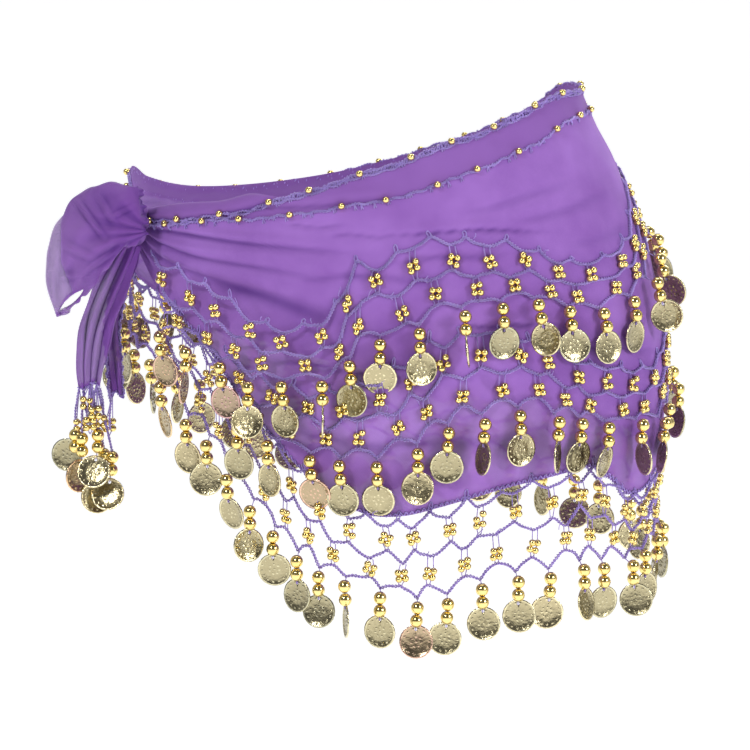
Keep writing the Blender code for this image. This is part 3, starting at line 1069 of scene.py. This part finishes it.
puff = {
    "columns": ("outerX", "outerZ", "innerX", "innerZ", "y", "halfDepth"),
    "sections": (
        (-143, -12, -139.5, -38, -65, 4.5),
        (-147.5, -11, -145.5, -44, -68, 7.0),
        (-158, -9.5, -154, -48, -71, 10.5),
        (-171, -10.5, -162, -57, -71, 13.0),
        (-184, -19, -169, -65, -70, 13.0),
        (-194, -36, -176, -74, -67, 12.0),
        (-198.5, -53, -180, -79, -64, 10.0),
        (-198, -71, -184, -83, -62, 8.0),
        (-193, -88, -186, -86, -60, 6.5),
    ),
    "rings": 130,
    "sides": 180,
    "thickness": 0.45,
    "gatheredAt": (-141, -37.5),
    # the edge of the sheet that lies inside, as x for each z
    "insideEdge": ((-77, -55, -28, -14), (-182, -190, -190, -181)),
    "ridges": (
        # x and z of each end, height, width
        ((-180, -18), (-164, -40), 1.6, 1.1),
        ((-168, -15), (-157, -33), 1.0, 1.3),
        ((-188, -44), (-170, -52), 1.0, 1.6),
        ((-176, -60), (-152, -44), 1.3, 1.2),
        ((-192, -64), (-181, -62), 0.9, 1.3),
        ((-160, -28), (-147, -22), 0.9, 1.0),
    ),
    "mouth": ((-191.0, -84.0), (-177.0, -71.5), 2.1),
}


def alongSegment(x, z, start, end):
    # how far along a segment a place is, and how far from it
    dx, dz = end[0] - start[0], end[1] - start[1]
    t = ((x - start[0]) * dx + (z - start[1]) * dz) / (dx * dx + dz * dz)
    t = np.clip(t, 0, 1)
    return t, np.hypot(x - start[0] - t * dx, z - start[1] - t * dz)


def buildPuff():
    where = np.arange(len(puff["sections"]), dtype=float)
    at = np.linspace(0, where[-1], puff["rings"])
    table = {name: smoothAt(at, where, column(puff, "sections", name))[:, None] for name in puff["columns"]}
    turn = np.linspace(0, 2 * math.pi, puff["sides"], endpoint=False)[None, :]
    along = (at / where[-1])[:, None]
    front, flat = np.sin(turn), np.cos(turn)
    reachX = (table["outerX"] - table["innerX"]) / 2
    reachZ = (table["outerZ"] - table["innerZ"]) / 2
    wobble = 0.05 * np.sin(3 * turn + 9 * along) * ease(along, 0.1, 0.4)
    wobble += 0.035 * np.sin(5 * turn + 31 * along) + 0.02 * np.sin(53 * along + 2 * turn)
    x = (table["outerX"] + table["innerX"]) / 2 + reachX * flat * (1.0 + wobble)
    z = (table["outerZ"] + table["innerZ"]) / 2 + reachZ * flat * (1.0 + wobble)
    # the end over the knot is a torn-looking edge, pressed flat
    ending = 1 - ease(along, 0.0, 0.07)
    x = x + ending * (1.3 * np.sin(0.75 * z) + 0.7 * np.sin(1.9 * z + 1))
    # pleats fan out from the knot, and soft crumples run across the rest
    gatherX, gatherZ = puff["gatheredAt"]
    fan = np.arctan2(z - gatherZ, gatherX - x + 4)
    gathered = hill(np.hypot(x - gatherX, z - gatherZ), 27)
    pleats = np.sin(15 * fan + 1.4 * np.sin(4 * fan))
    crumple = np.sin(5 * flat - 9 * along + 2.0 * np.sin(3 * flat + 6 * along)) * ease(along, 0.15, 0.4)
    crumple += 0.6 * np.sin(9 * flat + 13 * along + 1.5 * np.sin(7 * along)) * ease(along, 0.1, 0.3)
    loose = ease(along, 0.7, 1.0)
    full = np.sign(front) * np.abs(front) ** (0.8 + 0.3 * loose)
    bulge = 0.86 + 0.15 * pleats * gathered + 0.085 * crumple
    y = table["y"] + table["halfDepth"] * (1 - 0.8 * ending) * full * bulge
    raised = np.zeros(x.shape)
    for start, end, height, width in puff["ridges"]:
        t, away = alongSegment(x, z, start, end)
        profile = hill(away, width) - 0.6 * hill(away - 2 * width, width)
        raised += height * np.sin(math.pi * (0.08 + 0.84 * t)) * profile
    y = y + np.sign(front) * np.abs(front) ** 0.5 * raised
    edgeZ, edgeX = puff["insideEdge"]
    inside = x - np.interp(z, edgeZ, edgeX)
    seam = hill(inside, 0.9) * (front < 0)
    y = y - 0.8 * seam + 1.8 * loose * np.sin(4 * turn + 0.7)
    points = np.stack(np.broadcast_arrays(x, y, z), axis=-1).reshape(-1, 3)
    start, end, half = puff["mouth"]
    t, away = alongSegment(points[:, 0], points[:, 2], start, end)
    gap = away / (half * np.sin(math.pi * np.clip(t, 0.03, 0.97)) ** 0.6)
    faces = [f for f in gridFaces(puff["rings"], puff["sides"], True) if np.mean(gap[list(f)]) > 1]
    made = newPiece("knotPuff", points, faces, [chiffonLoose])
    hem = hill(gap.reshape(x.shape) - 1.3, 0.45)
    layers = 0.42 * ease(inside, 0, 0.8) + 0.45 * gathered + ease(along, 0.975, 0.99) * 0.5 + 0.5 * hem
    # painted shade in the pleats by the knot, the troughs of the crumples and ridges, along the inside edge
    # and over the pressed end
    crease = 0.6 * gathered * np.clip(0.25 - pleats, 0, 1) + 0.2 * np.clip(-crumple, 0, 1) + 0.35 * seam
    crease = crease + 0.5 * np.clip(-raised, 0, 1) + 0.4 * ending
    across = np.broadcast_to(turn * 12, x.shape)
    addClothMap(made, across, np.broadcast_to(along * 110, x.shape), layers, crease)
    cleanShell(made)
    thicken(made, puff["thickness"])
    return made


def cleanShell(piece):
    # points with no face go, and the faces point outwards
    shell = bmesh.new()
    shell.from_mesh(piece.data)
    bmesh.ops.delete(shell, geom=[v for v in shell.verts if not v.link_faces], context="VERTS")
    middle = Vector(np.mean([v.co for v in shell.verts], axis=0))
    if sum(face.normal.dot(face.calc_center_median() - middle) for face in shell.faces) < 0:
        bmesh.ops.reverse_faces(shell, faces=shell.faces)
    shell.to_mesh(piece.data)
    shell.free()


knotPuff = buildPuff()
bind(knotPuff, "chiffon", "knot_puff")

knotSizes = {
    "centre": (-149.0, -51.0, -33.0),
    "half": (10.0, 7.8, 16.0),
    "rings": 80,
    "sides": 110,
    "thickness": 0.5,
}


def buildKnot():
    # cloth wound round and round: slanting ridges over a lump
    down = np.linspace(0.02, math.pi - 0.02, knotSizes["rings"])[:, None]
    turn = np.linspace(0, 2 * math.pi, knotSizes["sides"], endpoint=False)[None, :]
    wind = np.cos(11 * np.cos(down) + 1.6 * np.sin(turn + 0.5) + 0.5 * np.sin(3 * turn))
    ridges = np.sign(wind) * np.abs(wind) ** 0.6
    swell = 0.93 + 0.07 * ridges + 0.03 * np.sin(4 * turn + 2 * down)
    cx, cy, cz = knotSizes["centre"]
    hx, hy, hz = knotSizes["half"]
    points = np.stack(
        np.broadcast_arrays(
            cx + hx * swell * np.sin(down) * np.cos(turn),
            cy + hy * swell * np.sin(down) * np.sin(turn),
            cz + hz * np.cos(down) * (0.96 + 0.04 * wind),
        ),
        axis=-1,
    )
    shape = points.shape[:2]
    made = newPiece("knotWound", points.reshape(-1, 3), gridFaces(*shape, True), [chiffon])
    across = np.broadcast_to(turn * 8, shape)
    # painted shade in the troughs between the wound ridges
    crease = 0.7 * np.clip(0.1 - wind, 0, 1)
    addClothMap(made, across, np.broadcast_to(down * 10, shape), np.full(shape, 0.8), crease)
    cleanShell(made)
    thicken(made, knotSizes["thickness"])
    return made


wound = buildKnot()
bind(wound, "chiffon", "knot")
print("knot tied")


# the two hanging tails

tails = {
    "columns": ("height", "x", "y", "halfWidth", "halfDepth"),
    "front": (
        (-47, -152, -52, 7.0, 3.4),
        (-58, -157, -51, 9.5, 3.8),
        (-73, -163, -50, 10.8, 4.4),
        (-93, -169, -48, 9.2, 4.6),
        (-113, -173, -47, 8.0, 4.0),
        (-130, -175, -46, 6.5, 3.2),
    ),
    "back": (
        (-51, -150, -39, 4.0, 2.4),
        (-58, -151, -39, 4.2, 2.5),
        (-75, -157, -38, 4.6, 3.0),
        (-99, -161, -37, 5.0, 3.0),
        (-120, -161, -37.5, 5.0, 2.8),
        (-136, -160, -38, 4.2, 2.4),
    ),
    "thickness": 0.4,
}


def buildTail(name, key, pleats, across, seed, steps=80):
    heights = -column(tails, key, "height")
    at = np.linspace(heights[0], heights[-1], steps)[:, None]
    part = {c: smoothAt(at, heights, column(tails, key, c)) for c in tails["columns"][1:]}
    u = np.linspace(-1, 1, across)[None, :]
    along = (at - heights[0]) / (heights[-1] - heights[0])
    phase = pleats * math.pi * (u + 0.12 * u * u * np.sin(3 * along + seed))
    phase = phase + 1.5 * np.sin(2.6 * along + seed) + seed
    fold = (np.sin(phase) + 0.4 * np.sin(1.7 * phase + 1.0 + 3 * along)) / 1.25
    deep = part["halfDepth"] * (0.72 + 0.2 * np.sin(4 * u + 3 * along + seed))
    edge = 1 + 0.10 * np.sin(7 * along + 3 * u + seed) + 0.05 * np.sin(17 * along + 2 * u)
    x = part["x"] + part["halfWidth"] * (u * edge + 0.12 * np.cos(phase)) + 0.8 * np.sin(6 * along + seed)
    y = part["y"] + deep * fold
    z = -at + 1.8 * np.sin(3 * u + seed) * ease(along, 0.8, 1.0)
    points = np.stack(np.broadcast_arrays(x, y, z), axis=-1)
    made = newPiece(name, points.reshape(-1, 3), gridFaces(steps, across), [chiffonLoose])
    shape = points.shape[:2]
    base = 0.95 if key == "back" else 0.78
    layers = base + 0.15 * fold + 0.5 * (1 - ease(along, 0.0, 0.35)) + 0.4 * ease(along, 0.96, 1.0)
    # painted shade on one side of each pleat
    crease = 0.3 * np.clip(fold - 0.1, 0, 1)
    addClothMap(made, np.broadcast_to(u * 35, shape), np.broadcast_to(at, shape), layers, crease)
    thicken(made, tails["thickness"])
    bind(made, "chiffon", "tail_" + key)
    return made, points


tailFront, frontPoints = buildTail("tailFront", "front", pleats=3.5, across=120, seed=0.3)
tailBack, backPoints = buildTail("tailBack", "back", pleats=2.5, across=90, seed=1.7)

tailNet = {
    # radius and twist of each kind of thread
    "hemThread": (0.6, 4.2),
    "edgeThread": (0.55, 4.2),
    "chainThread": (0.5, 3.6),
    "beadSpacing": 2.05,
    "pendants": (
        # x, y and z of the two large beads, of the coin's middle, and its tone and yaw
        ((-183.5, -45, -160), (-183.5, -45, -167), (-188.5, -43, -172), 0.02, 12),
        ((-179.4, -47, -162), (-179.4, -47, -169.3), (-181, -48, -184), 0.93, -40),
        ((-170, -47, -160), (-170, -47, -167), (-172.3, -52, -181), 0.8, 8),
        ((-166.5, -42, -172), (-167, -42, -179.5), (-170.7, -45, -197), 0.72, -14),
        ((-161.7, -44, -173.4), (-162.2, -44, -181), (-164.2, -49, -194.7), 0.75, 10),
    ),
    "clusters": (
        (-176.5, -47, -141),
        (-171.3, -50, -146),
        (-180.6, -45, -154),
        (-163.4, -43, -154.5),
        (-168.5, -46, -152),
        (-174.5, -49, -153),
    ),
}


def buildTailNet():
    threads, gold = [], []
    hems = [frontPoints[-1, int(i)] for i in np.linspace(8, 100, 5)]
    hems += [backPoints[-1, i] for i in (15, 60)]
    outward = (0.0, -1.0, 0.0)
    fine = {"radius": net["fineRadius"], "outward": outward, "step": net["fineStep"]}
    spacing = tailNet["beadSpacing"]
    # crochet along the tails' lower hems and the back tail's two long edges
    for hem in (frontPoints[-1], backPoints[-1]):
        threads.extend(sweepThread(hem + (0, 0, -0.5), *tailNet["hemThread"], outward))
    for edge in (2, -3):
        line = backPoints[18:, edge] + (0.0, -0.7, 0.0)
        line[:, 0] += 0.6 * np.sin(np.arange(len(line)) * 1.1)
        threads.extend(sweepThread(line, *tailNet["edgeThread"], outward))
    for x, y, z in tailNet["clusters"]:
        top = min(hems, key=lambda p: abs(p[0] - x) + 0.3 * abs(p[1] - y))
        for hand in (-1, 1):
            a = (x + hand * spacing, y, z + spacing + jittered(0.5))
            b = (x + hand * spacing, y, z - spacing + jittered(0.3))
            threads.extend(sweepThread([top, a, b, (x, y, z - 6)], **fine))
            gold += [placed(smallBead, a), placed(smallBead, b)]
    for i, (first, second, middle, tone, yaw) in enumerate(tailNet["pendants"]):
        bead1, bead2, middle = (np.array(each, float) for each in (first, second, middle))
        hang = unit(middle - bead2)
        hole = middle - hang * coin["holeHeight"]
        across = unit(np.cross((0, -1, 0), -hang))
        turned = np.stack([across, -hang, np.cross(across, -hang)], axis=1)
        turned = rotation(hang, math.radians(yaw)) @ turned
        gold += [placed(bigBead, bead1), placed(bigBead, bead2)]
        gold.append(placed(coinShape, middle, 1, tone, turned))
        top = hems[i % len(hems)]
        knee = (np.asarray(top) + bead1) / 2 + (jittered(1.5), -1, 0)
        over = bead1 + (0, 0, 3.4)
        threads.extend(sweepThread([top, knee, over], *tailNet["chainThread"], outward))
        threads.extend(sweepThread([over, bead2, hole], **fine))
    # the net between the tails' hems and the pendants
    for across in (-179, -175.5, -172, -168, -164.5):
        path = [(across + jittered(1), -45 + jittered(2), -131 + jittered(2))]
        for down in (-139, -147, -155):
            path.append((path[-1][0] + jittered(2.4), -46 + jittered(2.5), down + jittered(2)))
        threads.extend(sweepThread(path, *tailNet["chainThread"], outward))
    made = joinParts("tailNet", threads, [crochetThread])
    bind(made, "crochet_thread", "tail_net")
    hung = joinParts("tailCoins", gold, [goldBead, goldCoin])
    bind(hung, "gold", "tail_coins")
    return made, hung


tailThreads, tailGold = buildTailNet()
print("tails hung")


# floor, light and camera

studio = {
    "floorHeight": -0.85,
    "target": (-0.006, 0.0, -0.129),
    "distance": 3.2,
    "elevation": 6.0,
    "width": 0.45,
    "sensor": 36,
    "lamps": (
        # name, place, size, watts
        ("key", (-1.5, -2.3, 1.9), 0.5, 46.0),
        ("fill", (2.2, -1.7, 0.9), 0.9, 40.0),
        ("top", (0.1, 0.3, 2.2), 1.0, 14.0),
        ("rim", (0.9, 2.0, 0.9), 1.0, 12.0),
    ),
}


def buildStudio():
    clearSelection()
    bpy.ops.mesh.primitive_plane_add(size=60, location=(0, 0, studio["floorHeight"]))
    floor = bpy.context.object
    floor.name = "floor"
    pale, _, _ = newMaterial(
        "pale floor",
        {
            "Base Color": colour(0.9, 0.9, 0.91),
            "Roughness": 0.9,
            "Specular IOR Level": 0.1,
            "Emission Color": colour(1.0, 1.0, 1.0),
            "Emission Strength": 0.72,
        },
    )
    floor.data.materials.append(pale)
    world = bpy.data.worlds.new("studio")
    world.use_nodes = True
    bpy.context.scene.world = world
    ground = world.node_tree.nodes["Background"]
    shade = Shade(world.node_tree)
    around = shade.node("ShaderNodeTexCoord", output=0)
    back = shade.node("ShaderNodeSeparateXYZ", None, {0: around}, output=1)
    sky = (back * 1.6 + 0.5).clamp().mixed(colour(0.12, 0.12, 0.13), colour(0.5, 0.5, 0.52))
    seen = shade.node("ShaderNodeLightPath", output=0)
    sky = seen.mixed(sky, colour(1.0, 1.0, 1.0))
    world.node_tree.links.new(sky.socket, ground.inputs["Color"])
    ground.inputs["Strength"].default_value = 1.0
    for name, place, size, power in studio["lamps"]:
        light = bpy.data.lights.new(name, "AREA")
        light.size = size
        light.energy = power
        lamp = bpy.data.objects.new(name, light)
        lamp.location = place
        aim = np.array(studio["target"]) - np.array(place)
        tilt = math.atan2(math.hypot(aim[0], aim[1]), -aim[2])
        lamp.rotation_euler = (tilt, 0, math.atan2(-aim[0], aim[1]))
        bpy.context.scene.collection.objects.link(lamp)
    lens = bpy.data.cameras.new("camera")
    lens.lens = studio["sensor"] * studio["distance"] / studio["width"]
    lens.sensor_width = studio["sensor"]
    camera = bpy.data.objects.new("camera", lens)
    rise = math.radians(studio["elevation"])
    x, y, z = studio["target"]
    away = studio["distance"]
    camera.location = (x, y - away * math.cos(rise), z + away * math.sin(rise))
    camera.rotation_euler = (math.pi / 2 - rise, 0, 0)
    bpy.context.scene.collection.objects.link(camera)
    bpy.context.scene.camera = camera
    bpy.context.scene.view_settings.view_transform = "Standard"


buildStudio()
print("studio lit")
